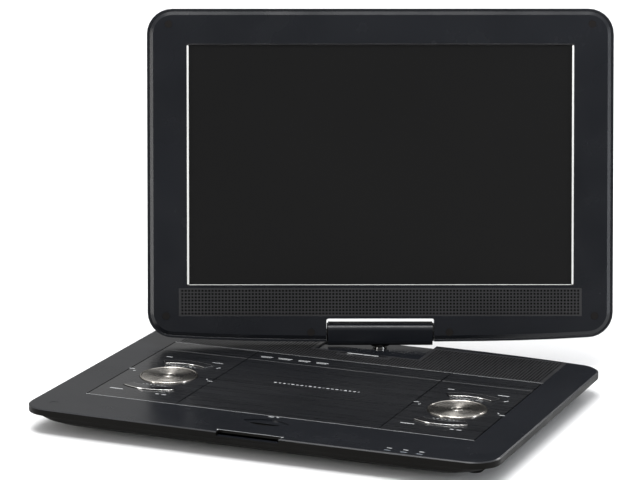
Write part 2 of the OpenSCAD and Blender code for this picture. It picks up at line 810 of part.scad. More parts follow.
module power_switch() {
    color([0.3, 0.3, 0.3]) translate([0, switch_y, port_z]) {
        block(bay_x - wall - 2, bay_x + 1.4, -switch_l / 2, switch_l / 2,
              -switch_t / 2, switch_t / 2);
        block(bay_x - wall - 2, bay_x - wall - 0.4, -switch_l / 2 - 2.5, switch_l / 2 + 2.5,
              -switch_t / 2 - 0.8, switch_t / 2 + 0.8);
    }
}

/* ---------- hinge ---------- */
bracket_z = recess_z - recess_t - 2.6;
bracket_t = 2.4;
module swivel_bracket() {
    color([0.6, 0.62, 0.64]) translate([0, swivel_y, 0])
    difference() {
        block(-42, 42, -12, 4.5, bracket_z, bracket_z + bracket_t);
        rod(shaft_r + run, 0, base_h);
        for (x = [-34, 34]) translate([x, -5, 0]) rod(1.7, 0, base_h);
    }
}
module at_hinge() {
    translate([0, swivel_y, tilt_z]) rotate([0, 0, swivel_deg]) children();
}
module at_screen() {
    at_hinge() rotate([-lean_deg, 0, 0]) children();
}
core_h = 4;
nut_h = 2;
module swivel_shaft() {
    color([0.8, 0.8, 0.82]) translate([0, swivel_y, 0]) {
        rod(shaft_r, bracket_z - 0.4 - nut_h, tilt_z - core_h);
    }
}
module swivel_collar() {
    color([0.03, 0.03, 0.03]) translate([0, swivel_y, 0])
    difference() {
        rod(collar_r, barrel_z0 - collar_t, barrel_z0);
        rod(shaft_r, 0, tilt_z);
    }
}
module swivel_nut() {
    color([0.6, 0.6, 0.6]) translate([0, swivel_y, bracket_z - 0.2])
    difference() {
        union() {
            translate([0, 0, -nut_h]) cylinder(r = 8, h = nut_h - 0.4, $fn = 6);
            rod(7.6, -0.4 - eps, 0);
        }
        rod(shaft_r, -10, 10);
    }
}
module rounded_bar(w, d, h, r) {
    translate([-w / 2, 0, 0]) {
        block(0, w, -d / 2 + r, d / 2 - r, -h / 2, h / 2);
        block(0, w, -d / 2, d / 2, -h / 2 + r, h / 2 - r);
        for (y = [-d / 2 + r, d / 2 - r], z = [-h / 2 + r, h / 2 - r])
            translate([0, y, z]) rod_x(r, 0, w);
    }
}
barrel_wall = 1.8;
module hinge_barrel() {
    barrel_r = 5;
    inner_w = barrel_w - 2 * barrel_wall;
    color([0.04, 0.04, 0.045])
    difference() {
        at_hinge() translate([0, 0, -barrel_drop])
            rounded_bar(barrel_w, barrel_d, barrel_h, barrel_r);
        at_hinge() translate([0, 0, -barrel_drop])
            rounded_bar(inner_w, barrel_d - 2 * barrel_wall,
                        barrel_h - 2 * barrel_wall, barrel_r - barrel_wall);
        at_hinge() rod_x(tilt_r, -barrel_w, barrel_w);
        translate([0, swivel_y, 0]) rod(shaft_r, 0, tilt_z - barrel_h / 4);
    }
}
core_x = barrel_w / 2 - barrel_wall - 3;
module hinge_core() {
    color([0.5, 0.5, 0.52]) at_hinge()
        block(-core_x, core_x, -core_h, core_h, -core_h, core_h);
}
shaft_x = notch_x + 16;
module tilt_shafts() {
    color([0.8, 0.8, 0.82]) at_hinge() both_sides() rod_x(tilt_r, core_x, shaft_x);
}
washer_r = 8;
washer_clear = 0.3;               // between each washer and the screen's notch
module tilt_washers() {
    color([0.04, 0.04, 0.045]) at_hinge() both_sides() difference() {
        rod_x(washer_r, barrel_w / 2, notch_x - washer_clear);
        rod_x(tilt_r, 0, notch_x);
    }
}
module tilt_brackets() {
    x0 = notch_x + wall + 1;
    color([0.6, 0.62, 0.64]) at_screen() both_sides()
    difference() {
        union() {
            block(x0, x0 + 11, -4.4, 4.4, -5, 34);
            block(x0 + 11, x0 + 24, 2.6, 4.4, 6, 34);
        }
        rod_x(tilt_r + run, 0, 100);
        translate([x0 + 18, 0, 22]) rotate([90, 0, 0]) cylinder(r = 1.6, h = 20, center = true);
    }
}

/* ---------- screen ---------- */
lip_y = -lid_front + 1.8;         // front of the rear shell's rim
plate_t = 2;
seam_in = 2.4;                    // where the bezel's sloped edge starts
face_in = 5.4;                    // where the bezel's flat face starts
rear_edge = 4;
module screen_slab(y0, y1, inset) {
    translate([0, y1, 0]) rotate([90, 0, 0]) linear_extrude(y1 - y0)
        polygon(outline(lid_w / 2 - inset, -lid_down + inset, lid_up - inset,
                        corner_r - inset, lid_bow, 0));
}
module notch(grow) {
    r = 2;
    x = notch_x + grow;
    z = notch_up + grow;
    block(-x, x, -50, 50, -50, z - r);
    block(-x + r, x - r, -50, 50, -50, z);
    both_sides() translate([x - r, 0, z - r]) rotate([90, 0, 0])
        cylinder(r = r, h = 100, center = true);
}
cover_r = 3.3;
cover_depth = 0.7;
cover_spots = [[182.3, lid_up - 13.2], [185, 14.4], [59.7, 0.3]];
module screen_bezel() {
    inner_y = -lid_front + plate_t;
    color([0.07, 0.075, 0.085]) at_screen()
    difference() {
        hull() {
            screen_slab(lip_y, -1, seam_in);
            screen_slab(-lid_front, -lid_front + eps, face_in);
        }
        difference() {
            screen_slab(inner_y, 1, seam_in + wall);
            block(-notch_x - wall, notch_x + wall, -20, 20, -50, notch_up + wall - 0.3);
        }
        notch(0);
        both_sides() block(notch_x + wall + 0.7, notch_x + wall + 12.3, -5, 1, -lid_down, 0);
        translate([0, 0, view_up])
            block(-view_w / 2, view_w / 2, -20, inner_y + 1, -view_h / 2, view_h / 2);
        block(-speaker_w / 2, speaker_w / 2, -20, -lid_front + 1.2,
              speaker_up, speaker_up + speaker_h);
        both_sides() {
            for (x = [146, 158]) translate([x, 0, speaker_up + speaker_h / 2])
                rotate([90, 0, 0]) cylinder(r = 5, h = 40, center = true);
            for (p = cover_spots) translate([p[0], -lid_front + cover_depth, p[1]])
                rotate([90, 0, 0]) cylinder(r = cover_r, h = 5);
            rod_x(tilt_r + 0.6, notch_x - 1, notch_x + wall + 1);
        }
    }
}
module screen_rear_shell() {
    color([0.05, 0.05, 0.055]) at_screen()
    difference() {
        hull() {
            screen_slab(lip_y, lid_back - 3, 0);
            screen_slab(lid_back - eps, lid_back, rear_edge);
        }
        difference() {
            screen_slab(-20, lid_back - wall - 0.2, seam_in - 0.2);
            block(-notch_x - wall, notch_x + wall, -0.9, 20, -50, notch_up + wall);
        }
        notch(0);
        both_sides() {
            rod_x(tilt_r + 0.6, notch_x - 1, notch_x + wall + 1);
            for (i = [-4:4]) translate([110, 0, 190 + i * 6])
                block(-30, 30, 0, 20, -1, 1);
        }
    }
}
module lcd_trim() {
    inner_y = -lid_front + plate_t;
    grow = trim_w / plate_t;
    hw = view_w / 2 - snug;
    hh = view_h / 2 - snug;
    color([0.1, 0.1, 0.11]) at_screen() translate([0, 0, view_up])
    difference() {
        block(-hw, hw, -lid_front, inner_y, -hh, hh);
        hull() {
            block(-hw + trim_w, hw - trim_w, inner_y, inner_y + 1, -hh + trim_w, hh - trim_w);
            block(-hw + grow * 0.2, hw - grow * 0.2, -lid_front - 1, -lid_front - 1 + eps,
                  -hh + grow * 0.2, hh - grow * 0.2);
        }
    }
}
glass_t = 1.4;
glass_in = 4;
light_t = 4.2;
module lcd_layer(y0, y1, grow) {
    block(-view_w / 2 - grow, view_w / 2 + grow, y0, y1,
          view_up - view_h / 2 - grow, view_up + view_h / 2 + grow);
}
module lcd_panel() {
    y0 = -lid_front + plate_t;
    color([0.02, 0.02, 0.022]) at_screen() lcd_layer(y0, y0 + glass_t, glass_in);
}
module backlight_unit() {
    y0 = -lid_front + plate_t + glass_t;
    color([0.6, 0.6, 0.62]) at_screen() lcd_layer(y0, y0 + light_t, glass_in);
}
module speaker_grille() {
    color([0.06, 0.06, 0.065]) at_screen()
        block(-speaker_w / 2 + snug, speaker_w / 2 - snug, -lid_front, -lid_front + 1.2,
              speaker_up + snug, speaker_up + speaker_h - snug);
}
module speakers() {
    color([0.1, 0.1, 0.1]) at_screen() both_sides()
        translate([152, 0, speaker_up + speaker_h / 2 - 2]) {
            difference() {
                block(-20, 20, -lid_front + plate_t, 0, -9.5, 9.5);
                translate([0, -lid_front + plate_t + 1, 0]) rotate([90, 0, 0])
                    cylinder(r1 = 5, r2 = 8.6, h = 2);
            }
            translate([0, 4, 0]) rotate([90, 0, 0]) cylinder(r = 8, h = 4);
        }
}
module screen_board() {
    y0 = -lid_front + plate_t + glass_t + light_t + 0.6;
    color([0.05, 0.25, 0.12]) at_screen() {
        block(-62, 62, y0, y0 + board_t, 62, 108);
        for (x = [-36, 0, 34]) block(x - 7, x + 7, y0 + board_t, y0 + board_t + 1.4, 76, 90);
    }
}
module screen_screw_covers() {
    color([0.09, 0.07, 0.07]) at_screen() both_sides()
        for (p = cover_spots) translate([p[0], -lid_front + cover_depth, p[1]])
            rotate([90, 0, 0]) cylinder(r = cover_r - snug, h = cover_depth + 0.1);
}

base_top_case();
base_bottom_case();
socket_panel();
left_control_panel();
right_control_panel();
rear_grille_panel();
badge_plaque();
loader_deck();
loader_chassis();
loader_dampers();
spindle_motor();
pickup_guide_rods();
sled_motor();
main_board();
battery_pack();
left_key_board();
right_key_board();
dc_jack();
headphone_jack();
av_jack();
usb_port();
card_slot();
rubber_feet();
case_screws();
screw_plugs();
indicator_lights();
swivel_bracket();
door_hinge_pins();
disc_door();
open_button();
door_catch();
turntable();
optical_pickup();
pickup_lens();
lead_screw();
left_pad();
right_pad();
left_rear_rocker();
left_front_rocker();
right_rear_rocker();
right_front_rocker();
power_switch();
swivel_shaft();
swivel_collar();
swivel_nut();
hinge_barrel();
hinge_core();
tilt_shafts();
tilt_washers();
tilt_brackets();
screen_bezel();
screen_rear_shell();
lcd_panel();
lcd_trim();
backlight_unit();
speaker_grille();
speakers();
screen_board();
screen_screw_covers();
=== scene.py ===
import json
import math

import bmesh
import bpy
from mathutils import Matrix, Vector


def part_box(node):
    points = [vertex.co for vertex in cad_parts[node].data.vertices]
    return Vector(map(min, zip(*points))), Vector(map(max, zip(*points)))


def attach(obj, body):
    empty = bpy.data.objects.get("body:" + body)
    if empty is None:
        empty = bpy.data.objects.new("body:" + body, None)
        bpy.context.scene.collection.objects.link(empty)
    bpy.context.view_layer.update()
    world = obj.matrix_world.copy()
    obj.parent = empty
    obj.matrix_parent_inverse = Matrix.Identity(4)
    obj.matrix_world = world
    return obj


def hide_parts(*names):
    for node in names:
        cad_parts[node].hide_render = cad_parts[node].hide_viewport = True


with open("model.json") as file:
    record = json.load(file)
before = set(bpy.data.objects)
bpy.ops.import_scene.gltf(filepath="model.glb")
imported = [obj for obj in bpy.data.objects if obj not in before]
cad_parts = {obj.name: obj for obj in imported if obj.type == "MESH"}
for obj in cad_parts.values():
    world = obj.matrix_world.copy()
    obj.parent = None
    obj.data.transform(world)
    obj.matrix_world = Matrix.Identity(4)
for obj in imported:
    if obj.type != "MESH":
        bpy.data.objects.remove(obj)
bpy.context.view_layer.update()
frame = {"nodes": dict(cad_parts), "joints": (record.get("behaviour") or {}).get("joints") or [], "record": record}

MM = 0.001

# ---------- places that everything else is measured from ----------
TOP_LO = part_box("base_top_case")[0]
DOOR_LO, DOOR_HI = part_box("disc_door")
GRILLE_LO, GRILLE_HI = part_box("rear_grille_panel")
BADGE_LO, BADGE_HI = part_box("badge_plaque")
DECK_TOP = GRILLE_HI.z
JOINTS = {j["name"]: j for j in frame["joints"]}
TILT = JOINTS["screen_tilt"]
PIVOT = Vector(TILT["pos_m"])
SWIVEL_DEG = JOINTS["swivel_turn"]["range_deg"][1]
LEAN_DEG = 90 - TILT["range_deg"][1]
# In the face frame X runs along the screen, Y up it, and Z out of its face.
SCREEN = (Matrix.Translation(PIVOT) @ Matrix.Rotation(math.radians(SWIVEL_DEG), 4, "Z")
          @ Matrix.Rotation(math.radians(-LEAN_DEG), 4, "X"))
FACE = SCREEN @ Matrix.Rotation(math.radians(90), 4, "X")


def face_box(node):
    """Lowest and highest corner of a screen node, in the face frame."""
    back = FACE.inverted()
    points = [back @ v.co for v in frame["nodes"][node].data.vertices]
    return (Vector([min(p[i] for p in points) for i in range(3)]),
            Vector([max(p[i] for p in points) for i in range(3)]))


# ---------- materials ----------
def shader(name, color, roughness, metallic=0.0):
    """A new material with its Principled node, and a short way to add nodes."""
    m = bpy.data.materials.new(name)
    m.use_nodes = True
    m.diffuse_color = (*color, 1)
    tree = m.node_tree
    p = tree.nodes["Principled BSDF"]
    p.inputs["Base Color"].default_value = (*color, 1)
    p.inputs["Roughness"].default_value = roughness
    p.inputs["Metallic"].default_value = metallic

    def add(kind, values=None, **props):
        node = tree.nodes.new(kind)
        for key, value in props.items():
            setattr(node, key, value)
        for key, value in (values or {}).items():
            node.inputs[key].default_value = value
        return node
    return m, tree, p, add


def noise(tree, add, scale, detail=4.0, stretch=(1, 1, 1), turn=(0, 0, 0)):
    """Noise on the piece's own coordinates, stretched by direction."""
    where = add("ShaderNodeTexCoord")
    turned = add("ShaderNodeMapping")
    turned.inputs["Scale"].default_value = stretch
    turned.inputs["Rotation"].default_value = turn
    n = add("ShaderNodeTexNoise", {"Scale": scale, "Detail": detail})
    tree.links.new(where.outputs["Object"], turned.inputs["Vector"])
    tree.links.new(turned.outputs["Vector"], n.inputs["Vector"])
    return n.outputs["Fac"]


def spread(tree, add, source, low, high, start=0.3, end=0.7):
    """Maps a 0..1 signal onto low..high."""
    r = add("ShaderNodeMapRange", {"From Min": start, "From Max": end, "To Min": low, "To Max": high})
    tree.links.new(source, r.inputs["Value"])
    return r.outputs["Result"]


def tint(tree, add, p, source, dark, light):
    """Lets the base colour drift between two colours."""
    mix = add("ShaderNodeMix", data_type="RGBA")
    mix.inputs[6].default_value = (*dark, 1)
    mix.inputs[7].default_value = (*light, 1)
    tree.links.new(source, mix.inputs[0])
    tree.links.new(mix.outputs[2], p.inputs["Base Color"])


def bump(tree, add, p, source, strength, distance):
    """Lets a 0..1 signal raise the surface by up to distance."""
    b = add("ShaderNodeBump", {"Strength": strength, "Distance": distance})
    tree.links.new(source, b.inputs["Height"])
    tree.links.new(b.outputs["Normal"], p.inputs["Normal"])


def plastic(name, dark, light, rough, grain, depth, specular=0.5, coat=0.0):
    """Moulded plastic: slow drift in tone, wiping marks in the gloss, fine grain."""
    m, tree, p, add = shader(name, light, sum(rough) / 2)
    p.inputs["Specular IOR Level"].default_value = specular
    p.inputs["Coat Weight"].default_value = coat
    p.inputs["Coat Roughness"].default_value = 0.12
    tint(tree, add, p, spread(tree, add, noise(tree, add, 9, 3), 0, 1), dark, light)
    smudge = noise(tree, add, 26, 6, (1, 1.6, 1))
    tree.links.new(spread(tree, add, smudge, *rough), p.inputs["Roughness"])
    bump(tree, add, p, noise(tree, add, grain, 5), 1.0, depth)
    return m


def hairline(name, dark, light, rough):
    """Gloss panel with a fine hairline running sideways."""
    m, tree, p, add = shader(name, light, sum(rough) / 2)
    p.inputs["Anisotropic"].default_value = 0.35
    p.inputs["Coat Weight"].default_value = 0.25
    p.inputs["Coat Roughness"].default_value = 0.15
    lines = noise(tree, add, 60, 8, (0.25, 22, 1))
    tint(tree, add, p, spread(tree, add, lines, 0, 1, 0.4, 0.62), dark, light)
    tree.links.new(spread(tree, add, lines, *rough), p.inputs["Roughness"])
    bump(tree, add, p, lines, 0.35, 0.03 * MM)
    return m


def metal(name, dark, light, rough, stretch=(1, 1, 1), scale=120, depth=0.02, radial=False):
    """Metal with turning or brushing marks and a little tarnish."""
    m, tree, p, add = shader(name, light, sum(rough) / 2, 1.0)
    marks = noise(tree, add, scale, 6, stretch)
    tint(tree, add, p, spread(tree, add, noise(tree, add, 40, 4), 0, 1), dark, light)
    tree.links.new(spread(tree, add, marks, *rough), p.inputs["Roughness"])
    if radial:
        p.inputs["Anisotropic"].default_value = 0.9
        p.inputs["Anisotropic Rotation"].default_value = 0.25
        around = add("ShaderNodeTangent", direction_type="RADIAL", axis="Z")
        tree.links.new(around.outputs["Tangent"], p.inputs["Tangent"])
        where = add("ShaderNodeTexCoord")
        rings = add("ShaderNodeTexWave", {"Scale": 14.0, "Distortion": 0.6, "Detail": 2.0},
                    wave_type="RINGS", rings_direction="Z")
        centred = add("ShaderNodeVectorMath", operation="SUBTRACT")
        centred.inputs[1].default_value = (0.5, 0.5, 0.5)
        tree.links.new(where.outputs["Generated"], centred.inputs[0])
        tree.links.new(centred.outputs["Vector"], rings.inputs["Vector"])
        bump(tree, add, p, rings.outputs["Fac"], 0.25, depth * MM)
    else:
        bump(tree, add, p, marks, 0.5, depth * MM)
    return m


def glass_film(name):
    """Dark display behind an anti-glare film: soft, slightly sparkling."""
    m, tree, p, add = shader(name, (0.0055, 0.0055, 0.0055), 0.34)
    p.inputs["Specular IOR Level"].default_value = 0.24
    tint(tree, add, p, spread(tree, add, noise(tree, add, 5, 2), 0, 1),
         (0.002, 0.002, 0.002), (0.003, 0.003, 0.003))
    tree.links.new(spread(tree, add, noise(tree, add, 1800, 2), 0.30, 0.40), p.inputs["Roughness"])
    bump(tree, add, p, noise(tree, add, 2600, 2), 0.5, 0.004 * MM)
    return m


def clear(name, color):
    """Small clear lens."""
    m, tree, p, add = shader(name, color, 0.08)
    p.inputs["Transmission Weight"].default_value = 0.55
    p.inputs["IOR"].default_value = 1.49
    tree.links.new(spread(tree, add, noise(tree, add, 300, 3), 0.05, 0.14), p.inputs["Roughness"])
    tint(tree, add, p, noise(tree, add, 120, 2), tuple(0.8 * c for c in color), color)
    return m


LOOKS = {
    "gloss_black": plastic("gloss_black", (0.006, 0.0068, 0.0088), (0.0082, 0.0092, 0.0118),
                           (0.2, 0.29), 900, 0.006 * MM, 0.3),
    "brushed_black": hairline("brushed_black", (0.0035, 0.0039, 0.005), (0.007, 0.0077, 0.0095),
                              (0.22, 0.36)),
    "matte_black": plastic("matte_black", (0.0022, 0.002, 0.0016), (0.0036, 0.0033, 0.0028),
                           (0.38, 0.52), 2200, 0.03 * MM, 0.07),
    "lattice_black": plastic("lattice_black", (0.013, 0.013, 0.0142), (0.02, 0.02, 0.0216),
                             (0.35, 0.5), 1500, 0.015 * MM, 0.4),
    "screen_glass": glass_film("screen_glass"),
    "trim_black": plastic("trim_black", (0.008, 0.008, 0.009), (0.012, 0.012, 0.013),
                          (0.1, 0.2), 700, 0.004 * MM, coat=0.4),
    "spun_metal": metal("spun_metal", (0.5, 0.47, 0.43), (0.66, 0.63, 0.58), (0.22, 0.34),
                        radial=True),
    "bright_metal": metal("bright_metal", (0.6, 0.59, 0.57), (0.74, 0.73, 0.71), (0.08, 0.18),
                          scale=400, depth=0.004),
    "steel": metal("steel", (0.36, 0.36, 0.36), (0.52, 0.52, 0.51), (0.3, 0.45), (1, 9, 1)),
    "rubber_black": plastic("rubber_black", (0.006, 0.0054, 0.005), (0.011, 0.0095, 0.009),
                            (0.7, 0.85), 1600, 0.05 * MM, 0.1),
    "board_green": plastic("board_green", (0.01, 0.06, 0.025), (0.02, 0.11, 0.045),
                           (0.3, 0.45), 600, 0.02 * MM),
    "cell_wrap": plastic("cell_wrap", (0.02, 0.045, 0.12), (0.035, 0.07, 0.17),
                         (0.25, 0.4), 300, 0.02 * MM),
    "ivory_plastic": plastic("ivory_plastic", (0.42, 0.4, 0.33), (0.52, 0.5, 0.43),
                             (0.35, 0.5), 1200, 0.02 * MM),
    "light_guide": plastic("light_guide", (0.6, 0.6, 0.58), (0.72, 0.72, 0.7),
                           (0.35, 0.5), 900, 0.01 * MM),
    "lens_clear": clear("lens_clear", (0.55, 0.6, 0.66)),
    "silver_mark": metal("silver_mark", (0.6, 0.61, 0.62), (0.74, 0.75, 0.76), (0.5, 0.65),
                         scale=900, depth=0.003),
    "brass_contact": metal("brass_contact", (0.5, 0.37, 0.16), (0.64, 0.5, 0.24), (0.25, 0.4)),
}
SLOTS = {s["node"]: s["material_slot"] for s in frame["record"]["subparts"]}
for node, obj in frame["nodes"].items():
    for i in range(len(obj.material_slots)):
        obj.material_slots[i].link = "DATA"
        obj.data.materials[i] = LOOKS[SLOTS[node]]


# ---------- mesh tools ----------
EDGE_ANGLE = math.radians(18)
SHARP_ANGLE = math.radians(40)
BEVEL_SEGMENTS = 2
MERGE_DISTANCE = 2e-6
FLAT_ANGLE = math.radians(0.4)
MOST_CORNERS = 12


def new_piece(name, bm, matrix=None):
    """Turns a bmesh into an object in the shared frame, moved there by matrix if one is given."""
    bmesh.ops.recalc_face_normals(bm, faces=bm.faces)
    mesh = bpy.data.meshes.new(name)
    bm.to_mesh(mesh)
    bm.free()
    if matrix is not None:
        mesh.transform(matrix)
    obj = bpy.data.objects.new(name, mesh)
    bpy.context.scene.collection.objects.link(obj)
    return obj


def apply_modifiers(obj):
    """Replaces the mesh by what its modifiers make of it."""
    graph = bpy.context.evaluated_depsgraph_get()
    mesh = bpy.data.meshes.new_from_object(obj.evaluated_get(graph))
    obj.modifiers.clear()
    old = obj.data
    obj.data = mesh
    bpy.data.meshes.remove(old)
    mesh.name = obj.name


def round_edges(obj, width, angle=EDGE_ANGLE):
    """Rounds every edge sharper than angle, and keeps flat faces flat in the shading."""
    for polygon in obj.data.polygons:
        polygon.use_smooth = True
    obj.data.set_sharp_from_angle(angle=angle)
    if width:
        b = obj.modifiers.new("edges", "BEVEL")
        b.width = width
        b.segments = BEVEL_SEGMENTS
        b.limit_method = "ANGLE"
        b.angle_limit = angle
        b.use_clamp_overlap = True
        b.harden_normals = False
        b.miter_outer = "MITER_ARC"
        apply_modifiers(obj)
        for polygon in obj.data.polygons:
            polygon.use_smooth = True
        obj.data.set_sharp_from_angle(angle=SHARP_ANGLE)
    w = obj.modifiers.new("normals", "WEIGHTED_NORMAL")
    w.weight = 100
    w.keep_sharp = True
    apply_modifiers(obj)


def dress(obj, look, body, *nodes, inner=None):
    """Gives a piece its material, its body and the nodes that it stands for.

    Faces with material index 1 get the look named by inner.
    """
    marked = [face.material_index for face in obj.data.polygons]
    obj.data.materials.clear()
    obj.data.materials.append(LOOKS[look])
    if inner:
        obj.data.materials.append(LOOKS[inner])
        obj.data.polygons.foreach_set("material_index", marked)
    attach(obj, body)
    if nodes:
        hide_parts(*nodes)
    return obj


BODY_OF = {n: b for b, ns in frame["record"]["behaviour"]["bodies"].items() for n in ns}


def soften(node, width):
    """A copy of a CAD node with clean faces and rounded edges, which stands for it."""
    bm = bmesh.new()
    bm.from_mesh(frame["nodes"][node].data)
    bmesh.ops.remove_doubles(bm, verts=bm.verts, dist=MERGE_DISTANCE)
    bmesh.ops.dissolve_limit(bm, angle_limit=FLAT_ANGLE, verts=bm.verts, edges=bm.edges)
    wide = [face for face in bm.faces if len(face.verts) > MOST_CORNERS]
    bmesh.ops.triangulate(bm, faces=wide)
    obj = new_piece(node + "_skin", bm)
    round_edges(obj, width)
    return dress(obj, SLOTS[node], BODY_OF[node], node)


# ---------- camera, floor and lights ----------
LENS_MM = 161.69
CAMERA_AT = Vector((0.86871, -2.1056, 0.69111))
CAMERA_AZIMUTH = 22.43
CAMERA_ELEVATION = 13.48


def make_camera():
    data = bpy.data.cameras.new("camera")
    data.lens = LENS_MM
    data.sensor_width = 36
    data.clip_end = 60
    cam = bpy.data.objects.new("camera", data)
    cam.rotation_euler = (math.radians(90 - CAMERA_ELEVATION), 0, math.radians(CAMERA_AZIMUTH))
    cam.location = CAMERA_AT
    bpy.context.scene.collection.objects.link(cam)
    bpy.context.scene.camera = cam


def make_floor():
    bm = bmesh.new()
    bmesh.ops.create_grid(bm, x_segments=4, y_segments=4, size=14)
    floor = new_piece("floor", bm)
    m, tree, p, add = shader("pale_floor", (0.88, 0.88, 0.88), 0.8)
    p.inputs["Specular IOR Level"].default_value = 0.0
    tint(tree, add, p, noise(tree, add, 1.5, 2), (0.87, 0.87, 0.87), (0.89, 0.89, 0.89))
    floor.data.materials.append(m)


def area(name, at, target, size, power, color=(1, 1, 1)):
    data = bpy.data.lights.new(name, "AREA")
    data.shape = "RECTANGLE"
    data.size, data.size_y = size
    data.energy = power
    data.color = color
    light = bpy.data.objects.new(name, data)
    light.location = at
    light.rotation_euler = (Vector(target) - Vector(at)).to_track_quat("-Z", "Y").to_euler()
    bpy.context.scene.collection.objects.link(light)


def make_lights():
    sun = bpy.data.lights.new("overhead_box", "SUN")
    sun.energy = 1.2
    sun.angle = math.radians(26)
    o = bpy.data.objects.new("overhead_box", sun)
    o.rotation_euler = (math.radians(-6), math.radians(-12), 0)
    bpy.context.scene.collection.objects.link(o)
    area("front_strip", (0.34, -0.87, 2.45), (0, 0.1, 0.15), (1.6, 0.34), 38)
    area("left_strip", (-1.7, -1.95, 0.6), (0, 0.1, 0.15), (0.4, 1.1), 20, (1, 0.99, 0.97))
    area("right_strip", (2.6, -0.1, 0.6), (0, 0.1, 0.15), (0.4, 1.1), 20, (0.9, 0.94, 1))
    area("rear_strip", (0.9, 2.6, 1.9), (0, 0, 0.1), (1.8, 0.5), 18)
    world = bpy.data.worlds.new("studio")
    world.use_nodes = True
    tree = world.node_tree
    where = tree.nodes.new("ShaderNodeTexCoord")
    axes = tree.nodes.new("ShaderNodeSeparateXYZ")
    up = tree.nodes.new("ShaderNodeValToRGB")
    up.color_ramp.elements[0].position = 0.12
    up.color_ramp.elements[0].color = (0.15, 0.148, 0.145, 1)
    up.color_ramp.elements[1].position = 0.8
    up.color_ramp.elements[1].color = (1.1, 1.11, 1.13, 1)
    # The left of the studio is a warmer, lighter wall.
    left = tree.nodes.new("ShaderNodeMapRange")
    left.interpolation_type = "SMOOTHSTEP"
    left.inputs["From Min"].default_value = -0.28
    left.inputs["From Max"].default_value = -0.62
    wall = tree.nodes.new("ShaderNodeMix")
    wall.data_type = "RGBA"
    wall.blend_type = "ADD"
    wall.inputs[7].default_value = (0.045, 0.04, 0.028, 1)
    tree.links.new(where.outputs["Generated"], axes.inputs["Vector"])
    tree.links.new(axes.outputs["Z"], up.inputs["Fac"])
    tree.links.new(axes.outputs["X"], left.inputs["Value"])
    tree.links.new(left.outputs["Result"], wall.inputs[0])
    tree.links.new(up.outputs["Color"], wall.inputs[6])
    tree.links.new(wall.outputs[2], tree.nodes["Background"].inputs["Color"])
    bpy.context.scene.world = world
    bpy.context.scene.view_settings.view_transform = "Standard"


make_camera()
make_floor()
make_lights()

# ---------- CAD shapes with rounded edges ----------
EDGES = {
    "base_top_case": 0.25, "base_bottom_case": 0.3, "socket_panel": 0.2, "disc_door": 0.15,
    "left_control_panel": 0.15, "right_control_panel": 0.15, "loader_deck": 0.2,
    "screen_bezel": 0.3, "screen_rear_shell": 0.4, "hinge_barrel": 0.3, "swivel_collar": 0.2,
    "swivel_shaft": 0.3, "open_button": 0.25, "rubber_feet": 0.4, "turntable": 0.2,
    "screw_plugs": 0.2, "screen_screw_covers": 0.2, "indicator_lights": 0.2,
    "lcd_trim": 0.1, "usb_port": 0.1, "card_slot": 0.1, "power_switch": 0.25,
    "headphone_jack": 0.2, "av_jack": 0.2, "dc_jack": 0.2, "case_screws": 0.15,
}
SKINS = {node: soften(node, width * MM) for node, width in EDGES.items()}


RIM_DROP = 0.8 * MM
UPRIGHT = 0.9


def matte_rim():
    """The upright rim of the base is matte, under the glossy top."""
    mesh = SKINS["base_top_case"].data
    mesh.materials.append(LOOKS["matte_black"])
    for face in mesh.polygons:
        if face.center.z < DECK_TOP - RIM_DROP and abs(face.normal.z) < UPRIGHT:
            face.material_index = 1


matte_rim()


# ---------- small shapes ----------
def ring_rows(bm, rows):
    """Skins successive rows of points, each row closed on itself."""
    made = [[bm.verts.new(p) for p in row] for row in rows]
    for a, b in zip(made, made[1:]):
        n = len(a)
        for i in range(n):
            bm.faces.new((a[i], a[(i + 1) % n], b[(i + 1) % n], b[i]))
    return made


def lathe(name, profile, centre, steps=96):
    """A turned solid: profile is (radius, height) from the middle of the top round to the bottom."""
    bm = bmesh.new()
    rows = []
    for r, z in profile:
        rows.append([(centre.x + r * math.cos(math.tau * i / steps),
                      centre.y + r * math.sin(math.tau * i / steps), z) for i in range(steps)])
    made = ring_rows(bm, rows)
    bm.faces.new(made[0])
    bm.faces.new(made[-1])
    return new_piece(name, bm)


def pill_points(length, width, steps=8):
    """Outline of a bar with round ends."""
    r, half = width / 2, (length - width) / 2
    right = [(half + r * math.cos(a), r * math.sin(a))
             for a in (math.pi * (i / steps - 0.5) for i in range(steps + 1))]
    return right + [(-x, -y) for x, y in right]


def inset(points, d):
    """Moves a closed counter-clockwise outline inwards by d."""
    out = []
    n = len(points)
    for i in range(n):
        a, b, c = (Vector(points[k % n]) for k in (i - 1, i, i + 1))
        u, v = (b - a).normalized(), (c - b).normalized()
        side = Vector((-u.y - v.y, u.x + v.x))
        out.append(tuple(b + side * d / max(0.3, 1 + u.dot(v))))
    return out


def cushion(bm, points, z0, z1, edge, at=(0, 0), steps=3):
    """A low bar with a rounded top edge, from an outline, standing on z0."""
    rows = [[(x + at[0], y + at[1], z0) for x, y in points]]
    for i in range(steps + 1):
        a = math.pi / 2 * i / steps
        rows.append([(x + at[0], y + at[1], z1 - edge * (1 - math.sin(a)))
                     for x, y in inset(points, edge * (1 - math.cos(a)))])
    made = ring_rows(bm, rows)
    bm.faces.new(made[0])
    bm.faces.new(made[-1])


def split(start, end, pitch):
    """Evenly spaced lines from start to end, about a pitch apart."""
    n = max(1, round((end - start) / pitch))
    return [start + (end - start) * i / n for i in range(n + 1)]


